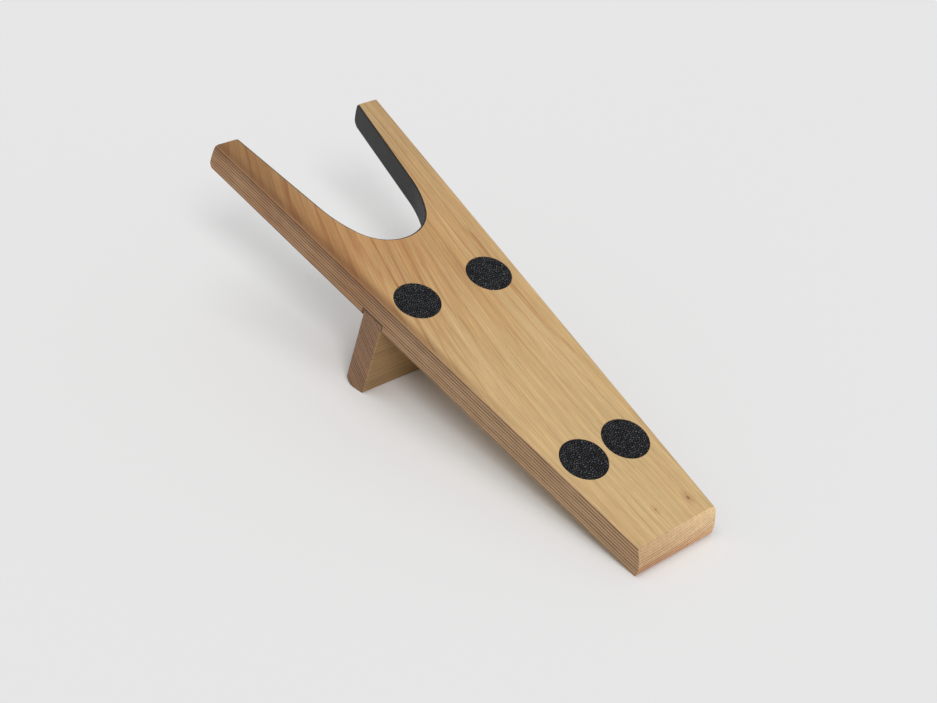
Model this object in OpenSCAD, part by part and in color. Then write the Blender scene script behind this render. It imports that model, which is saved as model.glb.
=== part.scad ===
// Boot jack: a tapered board that slopes up from its heel end, held up by one cross leg.
// A notch at the raised end takes the heel of a boot, and the other foot stands on four pads.
//
// The board is drawn lying flat first: X across it, Y from its heel end towards the notch and
// Z up from its underside. at_rest() then tips it onto its heel edge and the foot of its leg.
// In the finished part the floor is Z = 0 and the origin is in the middle of the footprint.

/* [Board] */
// Length of the board, from the heel end to the tips beside the notch
board_length = 326.2; // [300:1:345]
// Thickness of the board
board_thickness = 17; // [15:0.5:21]
// Width across the heel end
heel_width = 52; // [48:0.2:62]
// Width across the tips
tip_width = 110.4; // [106:0.2:120]
// How far the heel end falls back between the underside and the top face
heel_setback = 5.8; // [3:0.1:8]
// How far the tips fall back between the underside and the top face
tip_setback = 2.4; // [1.5:0.1:5]
// Radius on the lower corner of the heel end
heel_corner_r = 2.5; // [1:0.1:4]
// Radius on the lower corner of the tips
tip_corner_r = 4; // [1:0.1:5]
// Radius along the long top edges
top_edge_r = 2; // [0.5:0.1:4]
// Radius along the long lower edges
lower_edge_r = 1; // [0.5:0.1:3]

/* [Notch] */
// Distance from the heel end to the bottom of the notch, on the top face
notch_start = 221; // [212:0.2:235]
// Radius of the round bottom of the notch
notch_bottom_r = 26.4; // [22:0.2:28]
// Radius of the flatter curve between the round bottom and each straight wall
notch_cheek_r = 75; // [50:1:90]
// Angle off the board's length where the round bottom becomes the flatter curve
cheek_angle = 28; // [20:1:35]
// Angle of each straight wall off the board's length
wall_angle = 9; // [6:0.5:11]
// Lean of the notch's wall, which makes the notch wider at the underside
notch_lean = 10; // [2:0.5:14]
// Thickness of the strip that lines the notch
liner_thickness = 1; // [0.7:0.1:3]
// How far the upper edge of the strip lies below the top face
liner_set_down = 0.6; // [0:0.1:2]

/* [Pads] */
// Diameter of the round pads
pad_d = 25; // [22:0.5:27]
// Thickness of the pads
pad_thickness = 2; // [1.2:0.1:3]
// How far the pads stand above the top face, out of their shallow recesses
pad_proud = 0.3; // [0.1:0.05:0.8]
// Bevel round the top of a pad
pad_bevel = 0.3; // [0.1:0.05:0.6]
// Distance between the centres of the upper pair, across the board
upper_pad_spacing = 48.3; // [42:0.2:52]
// Distance from the heel end to the lower pair
lower_pad_y = 58.4; // [45:0.5:90]
// Distance between the centres of the lower pair, across the board
lower_pad_spacing = 28.2; // [28:0.1:30]

/* [Leg] */
// Distance from the heel end to the near face of the leg
leg_y = 182.6; // [170:0.5:190]
// Thickness of the leg, measured along the board
leg_thickness = 14; // [12:0.5:17]
// Height of the leg's near face below the board
leg_height = 48; // [38:0.1:60]
// Depth of the slot across the underside of the board
slot_depth = 3.8; // [2:0.1:6]
// Radius on the upright edges of the leg
leg_edge_r = 1; // [0.5:0.1:3]
// Radius on the near edge of its foot
foot_near_r = 2; // [0.5:0.1:3]
// Radius on the far edge of its foot, which the board leans away from
foot_back_r = 6; // [1:0.1:7]

/* [Screws] */
// Diameter of the two wood screws
screw_d = 4; // [3.5:0.5:5]
// Length of the screws, with the head
screw_length = 45; // [36:1:48]
// Diameter of the countersunk head
screw_head_d = 7.8; // [7:0.1:9]
// How far the heads lie below the floor of the pads' recesses
head_sink = 0.3; // [0.1:0.1:1]
// Distance from the near face of the leg to the screws
screw_in_leg = 6; // [5:0.5:8]
// How far the screws stand behind the centres of the upper pads, which hide them
screw_behind_pad = 8.3; // [6:0.1:8.3]

/* [Fits] */
// Thickness of the glue under the pads and behind the liner
glue = 0.1; // [0.05:0.01:0.2]
// Gap round each pad in its recess
pad_fit = 0.15; // [0.05:0.05:0.4]
// Gap between the leg and each side of its slot
slot_fit = 0.1; // [0.05:0.01:0.3]
// Gap left above the leg in its slot
slot_top_gap = 0.3; // [0.1:0.05:0.6]
// Gap between a screw and the wood round it
screw_fit = 0.1; // [0.05:0.01:0.3]

/* [Hidden] */
$fn = 96;
// Cuts run this far past the faces that they open
over = 1;
// A curve crosses the faces it runs into by this much, so that it cuts them cleanly
bite = 0.002;
// How far the three parts of the notch reach into each other
lap = 1.5;
// Side of the blocks that stand for a half of space
block = 3 * board_length;

// The ends are arcs that stand upright at the underside
function end_r(setback) = (pow(board_thickness, 2) + pow(setback, 2)) / (2 * setback);
// Each lower corner is a smaller arc that runs smoothly into the end and into the underside
function corner_y(setback, r) = end_r(setback) - sqrt(pow(end_r(setback) - r, 2) - pow(r, 2));
function corner_meets_end(setback, r) = asin(r / (end_r(setback) - r));
side_slope = (tip_width - heel_width) / 2 / board_length;
side_angle = atan(side_slope);

// The board leans on the lower corner of its heel end and on the near edge of the leg's foot
heel_corner_y = corner_y(heel_setback, heel_corner_r);
lean_run = leg_y - heel_corner_y;
lean_rise = leg_height + heel_corner_r;
rest_angle = atan2(lean_rise, lean_run) - asin(heel_corner_r / norm([lean_run, lean_rise]));
rest_lift = heel_corner_r - heel_corner_y * sin(rest_angle) - heel_corner_r * cos(rest_angle);
rest_y_min = end_r(heel_setback) * (cos(rest_angle) - 1);
rest_y_max = (board_length - corner_y(tip_setback, tip_corner_r)) * cos(rest_angle)
             + tip_corner_r * (1 - sin(rest_angle));
rest_y_mid = (rest_y_min + rest_y_max) / 2;

// Centres of the notch's round bottom and of the curve of its right-hand cheek
bottom_centre = [0, notch_start + notch_bottom_r];
cheek_step = notch_cheek_r - notch_bottom_r;
cheek_centre = bottom_centre + cheek_step * [-cos(cheek_angle), sin(cheek_angle)];
// Where the straight walls begin, as far as the middle line is concerned
function tangent_y(centre, r, angle) = centre[1] - r * sin(angle);

screw_y = leg_y + screw_in_leg;
upper_pad_y = screw_y - screw_behind_pad;
pad_seat = board_thickness + pad_proud - pad_thickness;
recess_floor = pad_seat - glue;
head_top = recess_floor - head_sink;
// A wood screw's usual proportions: the thread's core, its pitch and the threaded share
shank_r = screw_d / 2;
thread_root_r = 0.68 * shank_r;
thread_pitch = 0.45 * screw_d;
thread_length = 0.6 * screw_length;
point_length = screw_d;
// The upright rim of the head and the cross recess in it
screw_rim = 0.4;
recess_w = 1;
recess_l = 0.6 * screw_head_d;
recess_depth = 1.6;

// Carries a piece from the flat board to where it stands on the floor
module at_rest() {
    translate([0, -rest_y_mid, rest_lift]) rotate([rest_angle, 0, 0]) children();
}

// Runs a side view, drawn as Y and Z, across the board
module across(width) {
    translate([-width / 2, 0, 0]) rotate([90, 0, 90]) linear_extrude(width) children();
}

// Runs a cross-section, drawn as X and Z, along the board
module along(from, to) {
    translate([0, to, 0]) rotate([90, 0, 0]) linear_extrude(to - from) children();
}

// What a radius takes off a corner: its point and the directions of the two edges that leave it
module corner_waste(corner, edge_a, edge_b, r) {
    half = acos(edge_a * edge_b) / 2;
    middle = (edge_a + edge_b) / norm(edge_a + edge_b);
    centre = corner + (r - bite) / sin(half) * middle;
    touch_a = corner + r / tan(half) * edge_a;
    touch_b = corner + r / tan(half) * edge_b;
    out_a = over * (touch_a - centre) / r;
    out_b = over * (touch_b - centre) / r;
    difference() {
        polygon([centre, touch_a, touch_a + out_a, corner - 2 * over * middle, touch_b + out_b, touch_b]);
        translate(centre) circle(r);
    }
}

// The outline from above
module outline() {
    half_heel = heel_width / 2;
    half_tip = tip_width / 2;
    polygon([[-half_heel, 0], [half_heel, 0], [half_tip, board_length], [-half_tip, board_length]]);
}

// One end seen from the side, with its lower corner still square
module end_profile(setback) {
    r = end_r(setback);
    intersection() {
        square([r, board_thickness]);
        translate([r, 0]) circle(r, $fn = 4 * $fn);
    }
}

// What the small arc takes off the lower corner of an end
module end_corner_waste(setback, r) {
    centre = [corner_y(setback, r), r];
    angle = corner_meets_end(setback, r);
    reach = 2 * r;
    tangent = centre + reach * [-cos(angle), sin(angle)];
    difference() {
        polygon([centre, [centre[0], -over], [-over, -over], [-over, tangent[1]], tangent]);
        translate(centre) circle(r + bite);
    }
}

// The side view of the board
module profile() {
    middle_from = (heel_setback + end_r(heel_setback)) / 2;
    middle_to = board_length - (tip_setback + end_r(tip_setback)) / 2;
    difference() {
        union() {
            end_profile(heel_setback);
            translate([board_length, 0]) mirror([1, 0]) end_profile(tip_setback);
            translate([middle_from, 0]) square([middle_to - middle_from, board_thickness]);
        }
        end_corner_waste(heel_setback, heel_corner_r);
        translate([board_length, 0]) mirror([1, 0]) end_corner_waste(tip_setback, tip_corner_r);
    }
}

// The notch is wider below, so all its radii grow towards the underside. inset is how far a
// surface stands in from the wood, and the radius here is the one at the top face.
function radius_on_top(r, inset) = r - inset / cos(notch_lean);

module notch_cone(centre, r, inset) {
    r_top = radius_on_top(r, inset);
    spread = tan(notch_lean);
    translate([centre[0], centre[1], -over])
        cylinder(h = board_thickness + 2 * over, r1 = r_top + (board_thickness + over) * spread,
                 r2 = r_top - over * spread, $fn = 2 * $fn);
}

// Everything on the heel side of the line where one surface of the notch runs into the next,
// and of as much as past says beyond it
module short_of(centre, r, angle, inset, past = 0) {
    y = tangent_y(centre, radius_on_top(r, inset), angle) + past;
    translate([0, y, board_thickness]) rotate([-atan(tan(notch_lean) * sin(angle)), 0, 0])
        translate([-block / 2, -block, -block / 2]) cube(block);
}

// Everything inside the straight wall on the right
module inside_wall(inset) {
    translate([cheek_centre[0], cheek_centre[1], board_thickness]) rotate([0, 0, -wall_angle])
        translate([radius_on_top(notch_cheek_r, inset), 0, 0]) rotate([0, -notch_lean, 0])
            translate([-block, -block / 2, -block / 2]) cube(block);
}

// The room inside the notch, out past the tips. Each part lies a hair inside the one before it,
// and they cross where they lap.
module notch_space(inset) {
    cheek_inset = inset + bite;
    wall_inset = cheek_inset + bite;
    intersection() {
        notch_cone(bottom_centre, notch_bottom_r, inset);
        short_of(bottom_centre, notch_bottom_r, cheek_angle, inset, lap);
    }
    difference() {
        intersection() {
            notch_cone(cheek_centre, notch_cheek_r, cheek_inset);
            mirror([1, 0, 0]) notch_cone(cheek_centre, notch_cheek_r, cheek_inset);
            short_of(cheek_centre, notch_cheek_r, wall_angle, inset, lap);
        }
        short_of(bottom_centre, notch_bottom_r, cheek_angle, inset);
    }
    difference() {
        intersection() {
            inside_wall(wall_inset);
            mirror([1, 0, 0]) inside_wall(wall_inset);
            translate([-tip_width, 0, -over])
                cube([2 * tip_width, board_length + over, board_thickness + 2 * over]);
        }
        short_of(cheek_centre, notch_cheek_r, wall_angle, inset);
    }
}

// What the radii take off the long edges on the right
module long_edge_waste() {
    side_length = board_length / cos(side_angle);
    translate([heel_width / 2, 0, 0]) rotate([0, 0, -side_angle]) along(-2 * over, side_length + 2 * over) {
        corner_waste([0, board_thickness], [-1, 0], [0, -1], top_edge_r);
        corner_waste([0, 0], [-1, 0], [0, 1], lower_edge_r);
    }
}

// The hole for one screw: its shank and thread, its cone and the recess above its head
module screw_hole() {
    cone_h = (screw_head_d - screw_d) / 2;
    hole_r = shank_r + screw_fit;
    head_r = screw_head_d / 2 + screw_fit;
    seat = head_top - screw_rim;
    translate([0, 0, head_top - screw_length - screw_fit]) cylinder(r = hole_r, h = screw_length);
    translate([0, 0, seat - cone_h]) cylinder(r1 = hole_r, r2 = head_r, h = cone_h);
    translate([0, 0, seat]) cylinder(r = head_r, h = screw_rim + head_sink + over);
}

module at_pair(spacing, y) {
    for (side = [-1, 1]) translate([side * spacing / 2, y, 0]) children();
}

module at_screws() {
    at_pair(upper_pad_spacing, screw_y) children();
}

// The shallow round seats of the four pads
module pad_recesses() {
    module recess() {
        translate([0, 0, recess_floor]) cylinder(d = pad_d + 2 * pad_fit, h = board_thickness);
    }
    at_pair(upper_pad_spacing, upper_pad_y) recess();
    at_pair(lower_pad_spacing, lower_pad_y) recess();
}

module board() color("burlywood") at_rest() difference() {
    intersection() {
        linear_extrude(board_thickness) outline();
        across(2 * tip_width) profile();
    }
    long_edge_waste();
    mirror([1, 0, 0]) long_edge_waste();
    notch_space(0);
    translate([-tip_width, leg_y - slot_fit, -over])
        cube([2 * tip_width, leg_thickness + 2 * slot_fit, slot_depth + over]);
    pad_recesses();
    at_screws() screw_hole();
}

// The leg follows the sloping sides of the board, and the floor cuts its foot
module leg() color("peru") difference() {
    at_rest() difference() {
        intersection() {
            translate([0, 0, -2 * leg_height]) linear_extrude(2 * leg_height + slot_depth - slot_top_gap)
                outline();
            translate([-tip_width, leg_y, -block / 2]) cube([2 * tip_width, leg_thickness, block]);
        }
        leg_upright_waste();
        mirror([1, 0, 0]) leg_upright_waste();
        at_screws() screw_hole();
    }
    translate([-block / 2, -block / 2, -block]) cube(block);
    foot_waste();
}

// What the radii take off the two upright edges on the right
module leg_upright_waste() {
    near = [heel_width / 2 + side_slope * leg_y, leg_y];
    far = near + leg_thickness * [side_slope, 1];
    up_side = [sin(side_angle), cos(side_angle)];
    translate([0, 0, -2 * leg_height - over]) linear_extrude(2 * leg_height + slot_depth + 2 * over) {
        corner_waste(near, [-1, 0], up_side, leg_edge_r);
        corner_waste(far, [-1, 0], -up_side, leg_edge_r);
    }
}

// What the radii take off the two long edges of the foot, drawn where the part stands
module foot_waste() {
    near = [leg_y * cos(rest_angle) + leg_height * sin(rest_angle) - rest_y_mid, 0];
    far = near + [leg_thickness / cos(rest_angle), 0];
    up_leg = [-sin(rest_angle), cos(rest_angle)];
    across(2 * tip_width) {
        corner_waste(near, [1, 0], up_leg, foot_near_r);
        corner_waste(far, [-1, 0], up_leg, foot_back_r);
    }
}

module notch_liner() color("dimgray") at_rest() difference() {
    intersection() {
        notch_space(glue);
        across(2 * tip_width) profile();
        linear_extrude(board_thickness - liner_set_down) outline();
    }
    notch_space(glue + liner_thickness);
}

module pad(x, y) color([0.13, 0.13, 0.14]) at_rest() translate([x, y, pad_seat]) {
    cylinder(d = pad_d, h = pad_thickness - pad_bevel);
    translate([0, 0, pad_thickness - pad_bevel])
        cylinder(d1 = pad_d, d2 = pad_d - 2 * pad_bevel, h = pad_bevel);
}

// One wood screw, its head on top at Z = 0. The thread is drawn as rings.
module screw() {
    cone_h = (screw_head_d - screw_d) / 2;
    rings = floor((thread_length - point_length) / thread_pitch);
    thread_bottom = point_length - screw_length;
    ring_points = [for (i = [0:rings - 1]) each [
        [thread_root_r, thread_bottom + i * thread_pitch],
        [shank_r, thread_bottom + (i + 0.5) * thread_pitch]]];
    difference() {
        rotate_extrude() polygon(concat(
            [[0, 0], [0, -screw_length]],
            ring_points,
            [[thread_root_r, thread_bottom + rings * thread_pitch],
             [shank_r, thread_bottom + rings * thread_pitch],
             [shank_r, -screw_rim - cone_h], [screw_head_d / 2, -screw_rim], [screw_head_d / 2, 0]]));
        for (turn = [0, 90]) rotate(turn)
            translate([-recess_l / 2, -recess_w / 2, -recess_depth]) cube([recess_l, recess_w, 2 * recess_depth]);
    }
}

module leg_screws() color("silver") at_rest() at_screws() translate([0, 0, head_top]) screw();

board();
leg();
notch_liner();
pad(-upper_pad_spacing / 2, upper_pad_y);  // pad_upper_left
pad(upper_pad_spacing / 2, upper_pad_y);  // pad_upper_right
pad(-lower_pad_spacing / 2, lower_pad_y);  // pad_lower_left
pad(lower_pad_spacing / 2, lower_pad_y);  // pad_lower_right
leg_screws();
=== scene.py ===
# %% [markdown]
# # A boot jack, dressed for the camera
# The object is a sloping wooden board with a lined notch for the heel of a boot, one cross leg
# below it and four round leather pads on top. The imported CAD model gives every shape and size,
# so this lesson adds what CAD leaves out: the figure of the wood, the grain of the leather, the
# light and the camera. All numbers are metres, except in the materials and where a name says mm.

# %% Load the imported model
import math

import bpy
from mathutils import Matrix, Vector


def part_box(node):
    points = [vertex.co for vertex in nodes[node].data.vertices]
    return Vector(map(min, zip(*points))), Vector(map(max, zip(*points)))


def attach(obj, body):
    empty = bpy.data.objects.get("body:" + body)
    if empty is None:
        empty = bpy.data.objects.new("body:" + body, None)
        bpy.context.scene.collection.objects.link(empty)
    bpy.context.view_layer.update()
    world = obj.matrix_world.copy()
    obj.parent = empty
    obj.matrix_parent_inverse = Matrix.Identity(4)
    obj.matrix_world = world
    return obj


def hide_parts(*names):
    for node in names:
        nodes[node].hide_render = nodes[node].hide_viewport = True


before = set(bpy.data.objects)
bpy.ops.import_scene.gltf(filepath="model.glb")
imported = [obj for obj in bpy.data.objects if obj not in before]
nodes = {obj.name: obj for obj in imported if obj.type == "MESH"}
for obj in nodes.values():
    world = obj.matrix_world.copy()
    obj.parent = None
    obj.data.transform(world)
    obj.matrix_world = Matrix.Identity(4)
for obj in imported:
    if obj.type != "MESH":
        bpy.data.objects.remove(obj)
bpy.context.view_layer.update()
print("nodes:", sorted(nodes))

# %% [markdown]
# ## Where the board lies
# The board stands on its heel edge and on the leg, so it slopes. Wood figure follows the plank
# and not the floor, so its materials need axes that lie in the board: x across it, y from the
# heel end to the notch and z up from the underside. The slope is read from the mesh: the top
# face is the largest flat area that looks up. Reading it, rather than writing an angle down,
# keeps the materials right when the CAD model changes.

# %% Measure the slope
MM = 1000.0
ACROSS = (1.0, 0.0, 0.0)


def largest_upward_normal(mesh):
    """The direction that most of the area facing up looks in."""
    areas = {}
    for face in mesh.polygons:
        if face.normal.z > 0.8:
            key = tuple(round(c, 3) for c in face.normal)
            areas[key] = areas.get(key, 0.0) + face.area
    return Vector(max(areas, key=areas.get)).normalized()


board_up = largest_upward_normal(nodes["board"].data)
slope = math.atan2(-board_up.y, board_up.z)
board_along = Vector((0.0, math.cos(slope), math.sin(slope)))
corners = [v.co for v in nodes["board"].data.vertices]
heel_at = min(c.dot(board_along) for c in corners)
tips_at = max(c.dot(board_along) for c in corners)
underside_at = min(c.dot(board_up) for c in corners)
top_at = max(c.dot(board_up) for c in corners)
print(f"slope {math.degrees(slope):.2f} degrees")
print(f"board {(tips_at - heel_at) * MM:.1f} x {(top_at - underside_at) * MM:.1f} mm")

# %% [markdown]
# ## The camera
# The photograph looks down on the heel end from the left with a longish lens, and the camera
# was turned a few degrees about its own axis. A camera can be placed by a point to look at and
# a roll, which is easier to read and to correct than nine matrix numbers.

# %% Place the camera
CAMERA_AT = Vector((-0.46598, -0.50151, 0.49073))
CAMERA_LOOKS_AT = Vector((0.02612, 0.02589, 0.00433))
CAMERA_ROLL = math.radians(4.89)
LENS_MM = 60.4
SENSOR_MM = 36.0
FARTHEST = 20.0

camera_data = bpy.data.cameras.new("photo_camera")
camera_data.lens = LENS_MM
camera_data.sensor_width = SENSOR_MM
camera_data.clip_end = FARTHEST
camera = bpy.data.objects.new("photo_camera", camera_data)
bpy.context.scene.collection.objects.link(camera)
aim = (CAMERA_LOOKS_AT - CAMERA_AT).to_track_quat("-Z", "Y").to_matrix().to_4x4()
camera.matrix_world = Matrix.Translation(CAMERA_AT) @ aim @ Matrix.Rotation(CAMERA_ROLL, 4, "Z")
bpy.context.scene.camera = camera
print("camera at", tuple(round(c, 3) for c in CAMERA_AT))

# %% [markdown]
# ## Wiring nodes
# Every material here is a node tree, and so is the tree that makes the pads. Long node code is
# mostly the same two steps: add a node, and feed each of its sockets with a number or with
# another node's output. One small class does both, for shader trees and Geometry Nodes alike.

# %% A short way to wire a tree


class Wiring:
    """Adds nodes to one tree and feeds their sockets."""

    def __init__(self, tree):
        self.tree = tree

    def feed(self, socket, value):
        if isinstance(value, bpy.types.NodeSocket):
            self.tree.links.new(value, socket)
        else:
            socket.default_value = value

    def add(self, kind, sockets=None, **settings):
        node = self.tree.nodes.new(kind)
        for name, value in settings.items():
            setattr(node, name, value)
        for name, value in (sockets or {}).items():
            self.feed(node.inputs[name], value)
        return node

    def put_group(self, group, values):
        """Puts a shared group into this tree and feeds its named inputs."""
        node = self.add("ShaderNodeGroup", node_tree=group.tree)
        for name, value in values.items():
            self.feed(node.inputs[name], value)
        return node

    def math(self, operation, *values):
        node = self.add("ShaderNodeMath", operation=operation)
        for index, value in enumerate(values):
            self.feed(node.inputs[index], value)
        return node.outputs[0]

    def product(self, first, *others):
        """Several numbers multiplied together."""
        for other in others:
            first = self.math("MULTIPLY", first, other)
        return first

    def vector(self, operation, *values, out="Vector"):
        node = self.add("ShaderNodeVectorMath", operation=operation)
        for index, value in enumerate(values):
            self.feed(node.inputs[index], value)
        return node.outputs[out]

    def scaled(self, vector, factor):
        node = self.add("ShaderNodeVectorMath", operation="SCALE")
        self.feed(node.inputs[0], vector)
        self.feed(node.inputs["Scale"], factor)
        return node.outputs["Vector"]

    def split(self, vector):
        node = self.add("ShaderNodeSeparateXYZ", {"Vector": vector})
        return node.outputs["X"], node.outputs["Y"], node.outputs["Z"]

    def joined(self, x, y, z):
        return self.add("ShaderNodeCombineXYZ", {"X": x, "Y": y, "Z": z}).outputs["Vector"]

    def ramp(self, value, low, high, to_low=0.0, to_high=1.0, smooth=True):
        sockets = {"Value": value, "From Min": low, "From Max": high, "To Min": to_low, "To Max": to_high}
        kind = "SMOOTHSTEP" if smooth else "LINEAR"
        return self.add("ShaderNodeMapRange", sockets, interpolation_type=kind).outputs["Result"]

    def noise(self, vector, detail=2.0, roughness=0.5):
        sockets = {"Vector": vector, "Scale": 1.0, "Detail": detail, "Roughness": roughness}
        return self.add("ShaderNodeTexNoise", sockets).outputs["Fac"]

    def stretched_noise(self, vector, per_mm, detail=2.0, roughness=0.5):
        """A noise that changes at its own rate along each axis."""
        return self.noise(self.vector("MULTIPLY", vector, per_mm), detail, roughness)

    def mix(self, factor, a, b, blend="MIX"):
        node = self.add("ShaderNodeMix", data_type="RGBA", blend_type=blend)
        for index, value in ((0, factor), (6, a), (7, b)):
            self.feed(node.inputs[index], value)
        return node.outputs[2]

    def between(self, factor, a, b):
        """A number that goes from a to b as the factor goes from 0 to 1."""
        return self.math("MULTIPLY_ADD", factor, self.math("SUBTRACT", b, a), a)


def new_group(name, inputs, outputs, kind="ShaderNodeTree"):
    """A node group, its wiring and its two end nodes."""
    tree = bpy.data.node_groups.new(name, kind)
    for socket_name, socket_kind, value in inputs:
        socket = tree.interface.new_socket(name=socket_name, in_out="INPUT", socket_type=socket_kind)
        if value is not None:
            socket.default_value = value
    for socket_name, socket_kind in outputs:
        tree.interface.new_socket(name=socket_name, in_out="OUTPUT", socket_type=socket_kind)
    wiring = Wiring(tree)
    return wiring, wiring.add("NodeGroupInput"), wiring.add("NodeGroupOutput")


FLOAT, COLOUR, VECTOR = "NodeSocketFloat", "NodeSocketColor", "NodeSocketVector"
FINISH_OUTPUTS = [("Colour", COLOUR), ("Roughness", FLOAT), ("Height", FLOAT)]
print("sockets that a finish gives out:", [name for name, _ in FINISH_OUTPUTS])

# %% [markdown]
# Colours are easiest to read off a photograph as numbers from 0 to 255, but shaders add light,
# so they want linear numbers. One function turns the first kind into the second.

# %% Colours and materials


def srgb(red, green, blue):
    """A colour as a picture shows it, 0 to 255, in the linear numbers that shaders use."""
    def linear(c):
        c /= 255.0
        return c / 12.92 if c <= 0.04045 else ((c + 0.055) / 1.055) ** 2.4
    return (linear(red), linear(green), linear(blue), 1.0)


def new_material(name):
    """A material, its wiring and its Principled shader."""
    material = bpy.data.materials.new(name)
    material.use_nodes = True
    wiring = Wiring(material.node_tree)
    return material, wiring, material.node_tree.nodes["Principled BSDF"]


def plank_position(wiring):
    """Object coordinates turned into the board's own axes, in mm."""
    raw = wiring.add("ShaderNodeTexCoord").outputs["Object"]
    mapping = wiring.add("ShaderNodeMapping", {"Vector": raw})
    mapping.inputs["Scale"].default_value = (MM, MM, MM)
    mapping.inputs["Rotation"].default_value = (-slope, 0.0, 0.0)
    mapping.inputs["Location"].default_value = (0.0, -heel_at * MM, -underside_at * MM)
    return mapping.outputs["Vector"]


def facing(wiring, axis):
    """How far a surface looks along an axis, either way, from 0 to 1."""
    normal = wiring.add("ShaderNodeTexCoord").outputs["Normal"]
    return wiring.math("ABSOLUTE", wiring.vector("DOT_PRODUCT", normal, tuple(axis), out="Value"))


def finish(wiring, shader, group, colour, bump_mm, bump_strength, specular):
    """Feeds the Principled shader from a finish group, with the colour given apart."""
    sockets = {"Height": group.outputs["Height"], "Strength": bump_strength, "Distance": bump_mm / MM}
    bump = wiring.add("ShaderNodeBump", sockets)
    wiring.feed(shader.inputs["Base Color"], colour)
    wiring.feed(shader.inputs["Roughness"], group.outputs["Roughness"])
    wiring.feed(shader.inputs["Normal"], bump.outputs["Normal"])
    shader.inputs["Specular IOR Level"].default_value = specular


print("middle grey as a shader takes it:", round(srgb(128, 128, 128)[0], 3))

# %% [markdown]
# ## Wood
# Softwood shows pale early wood and a thin darker line of late wood each year, and along the
# grain it shows streaks, fine fibres and the short dark dashes of its resin canals. A picture
# of wood wrapped round the board would break at its edges. Here the figure is solid instead: a
# number grows from ring to ring through the plank, and a line is drawn just before each whole
# one. The group below draws lines, streaks, fibres and dashes for any such number. Board and
# leg each work out their own number and share the group. Its patterns are long along the
# grain, which is the y of the position it is given.

# %% The shared wood group
# how fast each pattern changes across the grain, along it and across it again, per mm
SLOW_DRIFT = (0.045, 0.007, 0.045)
QUICK_DRIFT = (0.5, 0.03, 0.5)
BREAKS = (0.9, 0.022, 0.9)
STREAKS = (0.35, 0.008, 0.35)
FIBRES = (1.3, 0.035, 1.3)
DASHES = (3.2, 0.22, 3.2)
# how many rings the two drifts move a line, and how much fibres and dashes change the colour
SLOW_RINGS, QUICK_RINGS = 3.0, 0.6
FIBRE_TONE, DASH_TONE = 0.95, -0.10
# a line is darkest at this part of a ring, and a weak line keeps this much of its strength
DARKEST, WEAKEST_LINE = 0.9, 0.65

wood, given, result = new_group(
    "Wood figure",
    [("Position", VECTOR, None), ("Rings", FLOAT, 0.0), ("Wander", FLOAT, 0.5), ("Late wood", FLOAT, 0.6),
     ("Pale", COLOUR, (0.6, 0.4, 0.2, 1.0)), ("Dark", COLOUR, (0.4, 0.2, 0.1, 1.0)),
     ("Line strength", FLOAT, 0.5), ("Streak strength", FLOAT, 0.2), ("Year spread", FLOAT, 0.7)],
    FINISH_OUTPUTS,
)
place = given.outputs["Position"]
slow = wood.math("SUBTRACT", wood.stretched_noise(place, SLOW_DRIFT), 0.5)
quick = wood.math("SUBTRACT", wood.stretched_noise(place, QUICK_DRIFT), 0.5)
drift = wood.math("MULTIPLY_ADD", slow, SLOW_RINGS, wood.math("MULTIPLY", quick, QUICK_RINGS))
count = wood.math("MULTIPLY_ADD", drift, given.outputs["Wander"], given.outputs["Rings"])
part_of_ring = wood.math("FRACT", count)
year = wood.add("ShaderNodeTexWhiteNoise", {"W": wood.math("FLOOR", count)}, noise_dimensions="1D")
year_strength = wood.between(given.outputs["Year spread"], 1.0, year.outputs["Value"])
rise = wood.ramp(part_of_ring, wood.math("SUBTRACT", DARKEST, given.outputs["Late wood"]), DARKEST - 0.02)
fall = wood.ramp(part_of_ring, DARKEST, 1.0, 1.0, 0.0)
broken = wood.ramp(wood.stretched_noise(place, BREAKS, 3.0, 0.6), 0.30, 0.60, WEAKEST_LINE, 1.0)
line = wood.product(wood.math("MULTIPLY", rise, fall), year_strength, broken)
streaks = wood.stretched_noise(place, STREAKS, 5.0, 0.62)
fibres = wood.stretched_noise(place, FIBRES, 4.0, 0.7)
dashes = wood.ramp(wood.stretched_noise(place, DASHES, 1.0), 0.60, 0.74)
line_factor = wood.math("MULTIPLY", line, given.outputs["Line strength"])
tone = wood.mix(line_factor, given.outputs["Pale"], given.outputs["Dark"])
lift = wood.math("MULTIPLY_ADD", wood.math("SUBTRACT", streaks, 0.5), given.outputs["Streak strength"], 1.0)
lift = wood.math("MULTIPLY_ADD", wood.math("SUBTRACT", fibres, 0.5), FIBRE_TONE, lift)
lift = wood.math("MULTIPLY_ADD", dashes, DASH_TONE, lift)
wood.feed(result.inputs["Colour"], wood.scaled(tone, lift))
# late wood is a little smoother than early wood, and fibres are rougher
roughness = wood.math("MULTIPLY_ADD", fibres, 0.16, wood.math("MULTIPLY_ADD", line, -0.06, 0.46))
wood.feed(result.inputs["Roughness"], roughness)
height = wood.math("MULTIPLY_ADD", line, 0.35, wood.math("MULTIPLY", fibres, 0.5))
wood.feed(result.inputs["Height"], wood.math("MULTIPLY_ADD", dashes, -0.6, height))
WOOD_BUMP_MM, WOOD_BUMP_STRENGTH, WOOD_SPECULAR = 0.12, 0.6, 0.35
print("wood group:", len(wood.tree.nodes), "nodes")

# %% [markdown]
# ### The board
# On the left edge of the real board the rings run level, as fine lines along its whole length.
# On the heel end they stay level at the left and climb towards the right. On the top face they
# show as soft lines 6 to 7 mm apart, which lean over to the right in the upper half. One number
# for the whole plank can't give all three at the right strength. So each kind of side has its
# own, and masks made from the way a surface looks choose between them. Between face and edge
# the masks cross over on the rounding, where the change doesn't show. The width of the board
# and the place of its slot are written here again, because this script reads no source of the
# model: when they change there, they change here too.

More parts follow.
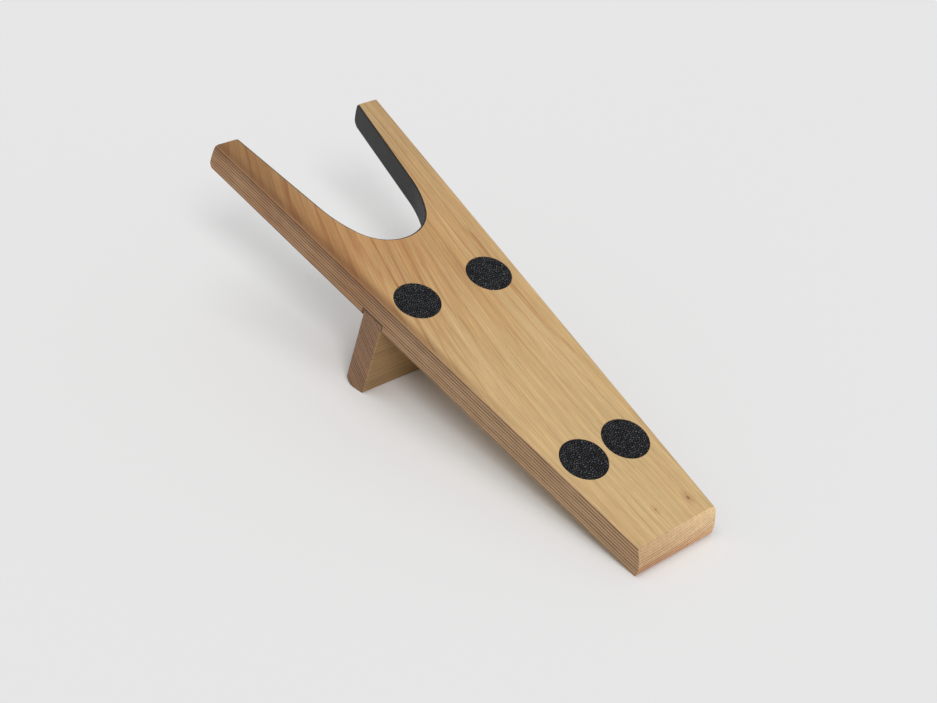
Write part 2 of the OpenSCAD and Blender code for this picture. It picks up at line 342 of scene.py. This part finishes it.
# %% Which side of the board a point is on
# half the width at the heel end, and how much each side moves out for every mm along
HALF_HEEL_MM = 26.0
SIDE_SLOPE = 0.0895

board_wood, sheet, shader = new_material("board_wood")
x, y, z = sheet.split(plank_position(sheet))
on_face = sheet.ramp(facing(sheet, board_up), 0.62, 0.92)
on_edge = sheet.ramp(facing(sheet, ACROSS), 0.55, 0.90)
on_end = sheet.math("SUBTRACT", 1.0, sheet.math("MAXIMUM", on_face, on_edge))
half_width = sheet.math("MULTIPLY_ADD", y, SIDE_SLOPE, HALF_HEEL_MM)
from_left = sheet.math("ADD", x, half_width)


def by_side(face, edge, end):
    """A number for the flat faces, another for the long edges and a third for the sawn ends."""
    return sheet.between(on_face, sheet.between(on_end, edge, end), face)


def colour_by_side(face, edge, end):
    """The same for a colour."""
    return sheet.mix(on_face, sheet.mix(on_end, edge, end), face)


print(f"half width at the notch end: {HALF_HEEL_MM + SIDE_SLOPE * (tips_at - heel_at) * MM:.1f} mm")

# %% Count the rings
# from ring to ring on the edges, on the ends and on the flat faces
RING_MM, END_RING_MM, LINE_MM = 1.8, 1.5, 6.6
# where the lines of the faces begin to lean, and how high the rings arch at the right side
LEAN_FROM_MM, LEAN_PER_MM2 = 60.0, 0.0009
ARCH_MM, ARCH_POWER = 7.0, 2.5

# the leaning lines of the flat faces
climb = sheet.math("MAXIMUM", sheet.math("SUBTRACT", y, LEAN_FROM_MM), 0.0)
lean = sheet.math("MULTIPLY", sheet.math("POWER", climb, 2.0), LEAN_PER_MM2)
lean = sheet.math("MULTIPLY", lean, sheet.ramp(x, -10.0, 55.0, 1.0, 0.25))
x_leant = sheet.math("SUBTRACT", x, lean)
# the rings of the edges and ends, which arch up towards the right side
across = sheet.math("DIVIDE", from_left, sheet.math("MULTIPLY", half_width, 2.0))
arch = sheet.math("MULTIPLY", sheet.math("POWER", sheet.math("MAXIMUM", across, 0.0), ARCH_POWER), ARCH_MM)
rings_mm = sheet.math("SUBTRACT", z, arch)
edge_rings = sheet.math("DIVIDE", rings_mm, sheet.between(on_end, RING_MM, END_RING_MM))
rings = sheet.between(on_face, edge_rings, sheet.math("DIVIDE", x_leant, LINE_MM))
print("rings in the thickness:", round((top_at - underside_at) * MM / RING_MM, 1))

# %% [markdown]
# Two pin knots lie near the heel end. A knot pushes the lines round it aside, so it adds a
# little to the number of rings, and it has a small dark core in a wider faint halo.

# %% Pin knots
# where each knot lies, its radius and how dark it is
KNOTS_MM = ((-2.8, 18.1, 0.7, 0.55), (17.3, 15.6, 1.0, 0.8))
KNOT_SQUEEZE = 0.7
KNOT_PUSH = 0.6
HALO_SHARE = 0.25

knots = 0.0
spot = sheet.joined(x, sheet.math("MULTIPLY", y, KNOT_SQUEEZE), 0.0)
for knot_x, knot_y, knot_r, knot_dark in KNOTS_MM:
    away = sheet.vector("DISTANCE", spot, (knot_x, knot_y * KNOT_SQUEEZE, 0.0), out="Value")
    rings = sheet.math("MULTIPLY_ADD", sheet.ramp(away, 0.0, knot_r * 5.0, 1.0, 0.0), KNOT_PUSH, rings)
    core = sheet.ramp(away, knot_r * 0.2, knot_r * 1.6, knot_dark, 0.0)
    halo = sheet.ramp(away, knot_r, knot_r * 4.5, HALO_SHARE * knot_dark, 0.0)
    knots = sheet.math("MAXIMUM", sheet.math("MAXIMUM", core, halo), knots)
knots = sheet.math("MULTIPLY", knots, on_face)
print("knots:", len(KNOTS_MM))

# %% Draw the figure
end_strength = sheet.ramp(z, 5.0, 14.5, 1.7, 0.35)
face_strength = sheet.ramp(y, 70.0, 210.0, 0.20, 0.80)
figure = sheet.put_group(wood, {
    "Position": sheet.joined(sheet.between(on_face, x, x_leant), y, z),
    "Rings": rings,
    "Wander": sheet.between(on_face, 0.15, 1.0),
    "Late wood": by_side(face=0.30, edge=0.60, end=0.45),
    "Pale": colour_by_side(face=srgb(198, 168, 120), edge=srgb(200, 168, 132), end=srgb(218, 186, 146)),
    "Dark": colour_by_side(face=srgb(166, 112, 64), edge=srgb(84, 58, 38), end=srgb(158, 94, 60)),
    "Line strength": by_side(face=face_strength, edge=1.15, end=end_strength),
    "Streak strength": 0.60,
    "Year spread": sheet.between(on_edge, 0.7, 0.4),
})
print("inputs of the figure:", len(figure.inputs))

# %% [markdown]
# The real board isn't one colour. It is pale yellow near the heel end and warmer towards the
# notch, in wide soft bands. The left prong is browner, and so is a narrow strip along the left
# arris, whose rounding also gets painted shade. The edges are darker than the face, partly as
# darker wood and partly as painted shade, and the heel end is pinkish near its lower edge. A thin
# line of painted shade marks the seam round the leg's slot. Each of these is a mask and a tint, a
# colour that multiplies what is there, so they are kept in one list and laid over the figure in
# turn.

# %% Tint the board
# the middle of the leg's slot, half its width and its depth
SLOT_Y_MM, SLOT_HALF_MM, SLOT_DEPTH_MM = 189.6, 7.1, 3.8
BAND_RATES = (0.11, 0.006, 0.02)

bands = sheet.stretched_noise(sheet.joined(x_leant, y, z), BAND_RATES, 3.0, 0.6)
# the brown strip is 5 mm wide half way up the board and takes the whole of the left tip
reach = sheet.ramp(y, 185.0, 322.0, 5.0, 30.0, smooth=False)
brown = sheet.ramp(sheet.math("DIVIDE", from_left, reach), 0.15, 1.25, 1.0, 0.0)
arris = sheet.math("MULTIPLY", sheet.ramp(from_left, 1.0, 7.0, 1.0, 0.0), sheet.ramp(z, 11.0, 15.5))
# the distance from the slot that takes the leg, negative inside it
along_slot = sheet.math("ABSOLUTE", sheet.math("SUBTRACT", y, SLOT_Y_MM))
from_slot = sheet.math("MAXIMUM", sheet.math("SUBTRACT", along_slot, SLOT_HALF_MM),
                       sheet.math("SUBTRACT", z, SLOT_DEPTH_MM))
TINTS = (
    ("warm bands", (sheet.ramp(bands, 0.35, 0.68), sheet.ramp(y, 40.0, 170.0, 0.25, 1.0)),
     (0.93, 0.85, 0.77)),
    ("warmer half", (sheet.ramp(y, 120.0, 240.0), sheet.ramp(x, -5.0, 30.0, 1.0, 0.45)),
     (0.83, 0.68, 0.57)),
    ("duller tips", (sheet.ramp(y, 230.0, 300.0), on_face), (0.86, 0.90, 0.94)),
    ("brown strip", (brown, on_face, sheet.ramp(y, 60.0, 190.0, 0.2, 1.0)), (0.68, 0.59, 0.50)),
    # the edges get darker: partly darker wood, partly painted shade
    ("edges", (on_edge,), (0.76, 0.70, 0.62)),
    ("greyer edges", (on_edge, sheet.ramp(y, 120.0, 300.0)), (1.16, 1.30, 1.45)),
    # painted shade on the rounding of the left arris, over its browner wood
    ("left arris", (arris, sheet.ramp(y, 70.0, 190.0, 0.10, 1.0)), (0.70, 0.66, 0.62)),
    # painted shade: a thin dark line round the slot where the leg meets the board
    ("painted shade in the slot seam", (on_edge, sheet.ramp(from_slot, 0.4, 1.2, 1.0, 0.0)), (0.22, 0.18, 0.16)),
    ("pink low end", (on_end, sheet.ramp(z, 9.0, 1.0)), (0.88, 0.68, 0.60)),
    ("duller left end", (on_end, sheet.ramp(x, 24.0, -20.0)), (0.78, 0.72, 0.70)),
    ("pale ends", (on_end,), (1.09, 1.12, 1.05)),
)
colour = figure.outputs["Colour"]
for _, masks, tint in TINTS:
    colour = sheet.mix(sheet.product(*masks), colour, sheet.mix(1.0, colour, (*tint, 1.0), "MULTIPLY"))
colour = sheet.mix(knots, colour, srgb(130, 70, 38))
finish(sheet, shader, figure, colour, WOOD_BUMP_MM, WOOD_BUMP_STRENGTH, WOOD_SPECULAR)
nodes["board"].data.materials[0] = board_wood
print("board material:", len(sheet.tree.nodes), "nodes, tints:", ", ".join(name for name, _, _ in TINTS))

# %% [markdown]
# ### The leg
# The leg is cut from the same wood, but its grain runs across the board, so x and y change
# places in the position that its figure gets. Its front shows level lines, and each end shows
# end grain, with rings that climb towards the notch. It stands in the shade of the board, and
# its colours are darker and browner than the top's: partly browner wood, partly painted shade.

# %% The leg's wood
LEG_RING_MM = 1.5
# the direction in which the leg's rings follow each other, along and up
LEG_RINGS_ALONG, LEG_RINGS_UP = -0.64, 0.77

leg_wood, sheet, shader = new_material("leg_wood")
x, y, z = sheet.split(plank_position(sheet))
rings_mm = sheet.math("MULTIPLY_ADD", y, LEG_RINGS_ALONG, sheet.math("MULTIPLY", z, LEG_RINGS_UP))
leg_end = sheet.ramp(facing(sheet, ACROSS), 0.7, 0.95)
figure = sheet.put_group(wood, {
    "Position": sheet.joined(y, x, z),
    "Rings": sheet.math("DIVIDE", rings_mm, LEG_RING_MM),
    "Wander": 0.4,
    "Late wood": 0.55,
    # darker than the board's colours, partly browner wood and partly painted shade; the ends get the darker
    # pair
    "Pale": sheet.mix(leg_end, srgb(158, 126, 84), srgb(144, 108, 78)),
    "Dark": sheet.mix(leg_end, srgb(84, 60, 34), srgb(60, 38, 26)),
    "Line strength": sheet.between(leg_end, 0.8, 1.4),
    "Streak strength": 0.4,
})
finish(sheet, shader, figure, figure.outputs["Colour"], WOOD_BUMP_MM, WOOD_BUMP_STRENGTH, WOOD_SPECULAR)
nodes["leg"].data.materials[0] = leg_wood
print("leg material:", len(sheet.tree.nodes), "nodes")

# %% [markdown]
# ## Leather
# The strip that lines the notch is smooth dark leather with a fine grain, and the pads are
# black leather with round pebbles. Both share one group that mottles the colour, dulls the
# hollows of the grain and gives a height for the bump. The pebbles themselves are geometry.

# %% The shared leather group
MOTTLE_PER_MM, SCUFFS_PER_MM = 0.12, 0.9
CREASE_WIDTH = 0.28
SCUFF_SHARE = 0.35

leather, given, result = new_group(
    "Leather grain",
    [("Position", VECTOR, None), ("Grain mm", FLOAT, 0.6), ("Colour", COLOUR, (0.02, 0.02, 0.02, 1.0)),
     ("Worn", COLOUR, (0.1, 0.1, 0.1, 1.0))],
    FINISH_OUTPUTS,
)
place = given.outputs["Position"]
cells = leather.scaled(place, leather.math("DIVIDE", 1.0, given.outputs["Grain mm"]))
creases = leather.add("ShaderNodeTexVoronoi", {"Vector": cells, "Scale": 1.0}, feature="DISTANCE_TO_EDGE")
swell = leather.ramp(creases.outputs["Distance"], 0.0, CREASE_WIDTH)
mottle = leather.noise(leather.scaled(place, MOTTLE_PER_MM), 3.0)
scuff = leather.ramp(leather.noise(leather.scaled(place, SCUFFS_PER_MM), 4.0, 0.7), 0.52, 0.8)
rubbed = leather.math("MULTIPLY", scuff, SCUFF_SHARE)
shade = leather.mix(rubbed, given.outputs["Colour"], given.outputs["Worn"])
leather.feed(result.inputs["Colour"], leather.scaled(shade, leather.math("MULTIPLY_ADD", mottle, 0.5, 0.75)))
roughness = leather.math("MULTIPLY_ADD", swell, -0.12, leather.math("MULTIPLY_ADD", mottle, 0.16, 0.52))
leather.feed(result.inputs["Roughness"], roughness)
leather.feed(result.inputs["Height"], swell)
print("leather group:", len(leather.tree.nodes), "nodes")

# %% [markdown]
# The pebbles of the pads get painted glints, small painted highlights on their tops, some bright
# and some dull, and painted shade keeps the creases between them black. The tree that makes them
# stores two numbers at each point: how high it stands on its pebble, and a random rank that all
# of one pebble shares. The material reads both.

# %% The two leathers
LEATHER_BUMP_STRENGTH = 0.5
DULLEST_PAINTED_GLINT = 0.2
PAINTED_CREASE_SHADE = 0.4
PAINTED_GLINT = srgb(88, 89, 92)


def leather_material(name, grain_mm, colour, worn, bump_mm, specular, pebbled=False):
    """One leather, from its grain, its colour and the colour where it is rubbed."""
    material, sheet, shader = new_material(name)
    values = {"Position": plank_position(sheet), "Grain mm": grain_mm, "Colour": colour, "Worn": worn}
    group = sheet.put_group(leather, values)
    shade = group.outputs["Colour"]
    if pebbled:
        pebble = sheet.add("ShaderNodeAttribute", attribute_name="pebble").outputs["Vector"]
        rise, rank, _ = sheet.split(pebble)
        # painted highlights on the pebble tops, and painted shade that darkens the creases
        brightness = sheet.math("MULTIPLY_ADD", rank, 1.0 - DULLEST_PAINTED_GLINT, DULLEST_PAINTED_GLINT)
        painted_glint = sheet.math("MULTIPLY", sheet.ramp(rise, 0.45, 1.0), brightness)
        shade = sheet.mix(painted_glint, sheet.scaled(shade, sheet.ramp(rise, 0.0, 0.6, PAINTED_CREASE_SHADE, 1.0)), PAINTED_GLINT)
    finish(sheet, shader, group, shade, bump_mm, LEATHER_BUMP_STRENGTH, specular)
    return material


liner_leather = leather_material("liner_leather", 0.5, srgb(48, 48, 50), srgb(66, 66, 68), 0.03, 0.15)
pad_leather = leather_material("pad_leather", 0.35, srgb(12, 13, 15), srgb(24, 25, 28), 0.04, 0.07,
                               pebbled=True)
nodes["notch_liner"].data.materials[0] = liner_leather
print("leathers:", liner_leather.name, pad_leather.name)

# %% [markdown]
# ## Pebbled pads
# Each pad is a 25 mm disc of black leather that sits in a shallow recess. Its pebbles are a
# little over 1 mm across, close packed, with narrow creases between them. A bump map can't
# give those outlines at the rim, so the pebbles are real. A Geometry Nodes tree suits them: it
# bends a fine square slab into a disc, lifts its top by the distance to the nearest crease of
# a Voronoi pattern, rounds the rim, and sets the disc in its recess. One tree makes all four
# pads. Only the centre and the seed differ.

# %% The tree of a pebbled pad
CREASE_FLANK, DOME_POWER = 0.42, 0.6
CELL_RANDOMNESS = 0.9

pad, given, result = new_group(
    "Pebbled pad",
    [("Geometry", "NodeSocketGeometry", None), ("Diameter", FLOAT, 0.025), ("Thickness", FLOAT, 0.002),
     ("Pebble size", FLOAT, 0.0012), ("Pebble height", FLOAT, 0.0002), ("Rim", FLOAT, 0.0004),
     ("Cells", "NodeSocketInt", 120), ("Seed", FLOAT, 0.0), ("Centre", VECTOR, None), ("Tilt", FLOAT, 0.0),
     ("Material", "NodeSocketMaterial", None)],
    [("Geometry", "NodeSocketGeometry")], kind="GeometryNodeTree",
)
size, thick = given.outputs["Diameter"], given.outputs["Thickness"]
pebble_size, seed = given.outputs["Pebble size"], given.outputs["Seed"]
slab = pad.add("GeometryNodeMeshCube", {
    "Size": pad.joined(size, size, thick), "Vertices X": given.outputs["Cells"],
    "Vertices Y": given.outputs["Cells"], "Vertices Z": 3,
})
px, py, pz = pad.split(pad.add("GeometryNodeInputPosition").outputs["Position"])
half = pad.math("MULTIPLY", size, 0.5)
u, v = pad.math("DIVIDE", px, half), pad.math("DIVIDE", py, half)


def onto_disc(along, other):
    """Moves one coordinate of a square to its place in the disc."""
    shrink = pad.math("SQRT", pad.math("MULTIPLY_ADD", pad.math("MULTIPLY", other, other), -0.5, 1.0))
    return pad.product(along, shrink, half)


def pebble_pattern(feature):
    """The flat pattern of cells that the pebbles follow."""
    sockets = {"Vector": spot, "Scale": 1.0, "Randomness": CELL_RANDOMNESS}
    return pad.add("ShaderNodeTexVoronoi", sockets, feature=feature, voronoi_dimensions="2D")


dx, dy = onto_disc(u, v), onto_disc(v, u)
on_top = pad.math("GREATER_THAN", pz, pad.math("MULTIPLY", thick, 0.4))
spot = pad.vector("DIVIDE", pad.joined(dx, dy, 0.0), pad.joined(pebble_size, pebble_size, 1.0))
spot = pad.vector("ADD", spot, pad.joined(seed, seed, 0.0))
crease = pebble_pattern("DISTANCE_TO_EDGE").outputs["Distance"]
dome = pad.math("POWER", pad.ramp(crease, 0.0, CREASE_FLANK), DOME_POWER)
rank, _, _ = pad.split(pebble_pattern("F1").outputs["Color"])
radius = pad.math("SQRT", pad.math("ADD", pad.math("MULTIPLY", dx, dx), pad.math("MULTIPLY", dy, dy)))
from_rim = pad.math("SUBTRACT", half, radius)
rounding = pad.math("POWER", pad.ramp(from_rim, 0.0, given.outputs["Rim"], 1.0, 0.0, smooth=False), 2.0)
lifted = pad.math("MULTIPLY", dome, given.outputs["Pebble height"])
raised = pad.math("SUBTRACT", lifted, pad.math("MULTIPLY", rounding, given.outputs["Rim"]))
dz = pad.math("MULTIPLY_ADD", raised, on_top, pz)
print("pad tree so far:", len(pad.tree.nodes), "nodes")

# %% [markdown]
# The second half of the tree stores the two numbers for the material, moves the points, tilts
# and places the disc, and ends in Realize Instances and Set Material, so that the export gets
# plain geometry.

# %% Shape, seat and dress the pad
marked = pad.add("GeometryNodeStoreNamedAttribute",
                 {"Geometry": slab.outputs["Mesh"], "Name": "pebble", "Value": pad.joined(dome, rank, 0.0)},
                 data_type="FLOAT_VECTOR", domain="POINT")
bent = pad.add("GeometryNodeSetPosition",
               {"Geometry": marked.outputs["Geometry"], "Position": pad.joined(dx, dy, dz)})
seated = pad.add("GeometryNodeTransform", {
    "Geometry": bent.outputs["Geometry"], "Translation": given.outputs["Centre"],
    "Rotation": pad.joined(given.outputs["Tilt"], 0.0, 0.0),
})
real = pad.add("GeometryNodeRealizeInstances", {"Geometry": seated.outputs["Geometry"]})
smooth = pad.add("GeometryNodeSetShadeSmooth", {"Geometry": real.outputs["Geometry"]})
dressed = pad.add("GeometryNodeSetMaterial",
                  {"Geometry": smooth.outputs["Geometry"], "Material": given.outputs["Material"]})
pad.feed(result.inputs["Geometry"], dressed.outputs["Geometry"])
print("pad tree:", len(pad.tree.nodes), "nodes")

# %% [markdown]
# The tree runs once for each pad. The CAD pad's box gives the centre, because a disc that is
# tilted about one axis keeps its centre in the middle of its box. The slab is a little thinner
# than the CAD pad and sits lower by the same share, which leaves room for the pebbles. The
# evaluated result becomes a plain mesh, and the helper object and its modifier go.

# %% Make the four pads
PAD_SIZES = {"Diameter": 0.025, "Thickness": 0.0018, "Pebble size": 0.00125, "Pebble height": 0.00028,
             "Rim": 0.0004, "Cells": 150}
PAD_LOWERED = 0.00012
FIRST_SEED, SEED_STEP = 11.3, 17.7
PAD_NODES = ("pad_upper_left", "pad_upper_right", "pad_lower_left", "pad_lower_right")


def pebbled_pad(node_name, seed):
    """A pad as a plain mesh, in place of one CAD pad."""
    low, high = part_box(node_name)
    centre = (low + high) / 2 - board_up * PAD_LOWERED
    helper = bpy.data.objects.new(node_name + "_helper", bpy.data.meshes.new(node_name + "_helper"))
    bpy.context.scene.collection.objects.link(helper)
    modifier = helper.modifiers.new("Pebbles", "NODES")
    modifier.node_group = pad.tree
    sockets = {item.name: item.identifier for item in pad.tree.interface.items_tree if item.in_out == "INPUT"}
    values = {**PAD_SIZES, "Seed": seed, "Centre": centre, "Tilt": slope, "Material": pad_leather}
    for name, value in values.items():
        modifier[sockets[name]] = value
    evaluated = helper.evaluated_get(bpy.context.evaluated_depsgraph_get())
    mesh = bpy.data.meshes.new_from_object(evaluated)
    mesh.name = node_name + "_pebbled"
    helper.modifiers.remove(modifier)
    bpy.data.objects.remove(helper)
    piece = bpy.data.objects.new(node_name + "_pebbled", mesh)
    bpy.context.scene.collection.objects.link(piece)
    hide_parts(node_name)
    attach(piece, "root")
    print(piece.name, len(mesh.polygons), "faces")


for index, node_name in enumerate(PAD_NODES):
    pebbled_pad(node_name, FIRST_SEED + SEED_STEP * index)

# %% [markdown]
# ## The screws
# Two zinc plated wood screws hold the leg from above, under the upper pads. They are hidden,
# but they still get a finish: a bright metal, brushed round and a little cloudy, as plating is.

# %% Zinc plating
CLOUDS_PER_MM = 0.9
BRUSHING = (9.0, 9.0, 1.2)

zinc, sheet, shader = new_material("screw_steel")
place = plank_position(sheet)
cloud = sheet.noise(sheet.scaled(place, CLOUDS_PER_MM), 3.0)
brushed = sheet.stretched_noise(place, BRUSHING)
sheet.feed(shader.inputs["Base Color"], sheet.mix(cloud, srgb(176, 178, 180), srgb(206, 204, 196)))
sheet.feed(shader.inputs["Metallic"], 1.0)
sheet.feed(shader.inputs["Roughness"], sheet.math("MULTIPLY_ADD", brushed, 0.25, 0.22))
nodes["leg_screws"].data.materials[0] = zinc
print("screws:", len(nodes["leg_screws"].data.polygons), "faces")

# %% [markdown]
# ## Floor
# The photograph stands on a plain pale sweep. A large square does for the part that shows, and
# beyond it the world has the same tone. It is matt, so no light makes a spot on it.

# %% The floor
FLOOR_HALF = 4.0
PAPER, PAPER_LIGHTER = srgb(230, 230, 230), srgb(231, 231, 231)

left, right = -FLOOR_HALF, FLOOR_HALF
floor_mesh = bpy.data.meshes.new("floor")
floor_mesh.from_pydata([(left, left, 0), (right, left, 0), (right, right, 0), (left, right, 0)],
                       [], [(0, 1, 2, 3)])
floor = bpy.data.objects.new("floor", floor_mesh)
bpy.context.scene.collection.objects.link(floor)
paper, sheet, shader = new_material("floor_paper")
grey = sheet.noise(sheet.scaled(sheet.add("ShaderNodeTexCoord").outputs["Object"], 2.0), 1.0)
sheet.feed(shader.inputs["Base Color"], sheet.mix(grey, PAPER, PAPER_LIGHTER))
shader.inputs["Roughness"].default_value = 0.9
shader.inputs["Specular IOR Level"].default_value = 0.0
floor_mesh.materials.append(paper)
print("floor:", 2 * FLOOR_HALF, "m square")

# %% [markdown]
# ## Light and background
# The shadows in the photograph are soft and show three parts: light from all round, a wide
# light from above, and a narrower one from behind the camera at the left, which draws the faint
# shadows of the prongs. The world and two suns do the same. Suns give one level everywhere, so
# the floor stays even, and the three levels add up to one: a colour then comes out about as it
# is written. The world shows the floor's tone to the camera and to reflections.

# %% The lights
WORLD_LEVEL = 0.42
SOFT_LEVEL, SOFT_FROM, SOFT_DEGREES = 0.29, (-0.15, 0.05, 1.0), 40.0
KEY_LEVEL, KEY_FROM, KEY_DEGREES = 0.29, (-0.38, -0.66, 0.64), 18.0


def sun(name, towards, level, angle_deg):
    """A sun that adds this level of light to the floor."""
    data = bpy.data.lights.new(name, "SUN")
    direction = Vector(towards).normalized()
    data.energy = level * math.pi / direction.z
    data.angle = math.radians(angle_deg)
    lamp = bpy.data.objects.new(name, data)
    lamp.rotation_euler = direction.to_track_quat("Z", "Y").to_euler()
    bpy.context.scene.collection.objects.link(lamp)


sun("soft_overhead", SOFT_FROM, SOFT_LEVEL, SOFT_DEGREES)
sun("key_behind_camera", KEY_FROM, KEY_LEVEL, KEY_DEGREES)

world = bpy.data.worlds.new("studio")
world.use_nodes = True
bpy.context.scene.world = world
sky = Wiring(world.node_tree)
for node in list(sky.tree.nodes):
    sky.tree.nodes.remove(node)
path = sky.add("ShaderNodeLightPath")
seen = sky.math("MAXIMUM", path.outputs["Is Camera Ray"], path.outputs["Is Glossy Ray"])
light = sky.add("ShaderNodeBackground", {"Color": (1.0, 1.0, 1.0, 1.0), "Strength": WORLD_LEVEL})
backdrop = sky.add("ShaderNodeBackground", {"Color": PAPER, "Strength": 1.0})
blend = sky.add("ShaderNodeMixShader", {"Fac": seen})
sky.feed(blend.inputs[1], light.outputs["Background"])
sky.feed(blend.inputs[2], backdrop.outputs["Background"])
sky.feed(sky.add("ShaderNodeOutputWorld").inputs["Surface"], blend.outputs["Shader"])
bpy.context.scene.view_settings.view_transform = "Standard"
print("light levels:", WORLD_LEVEL, SOFT_LEVEL, KEY_LEVEL)
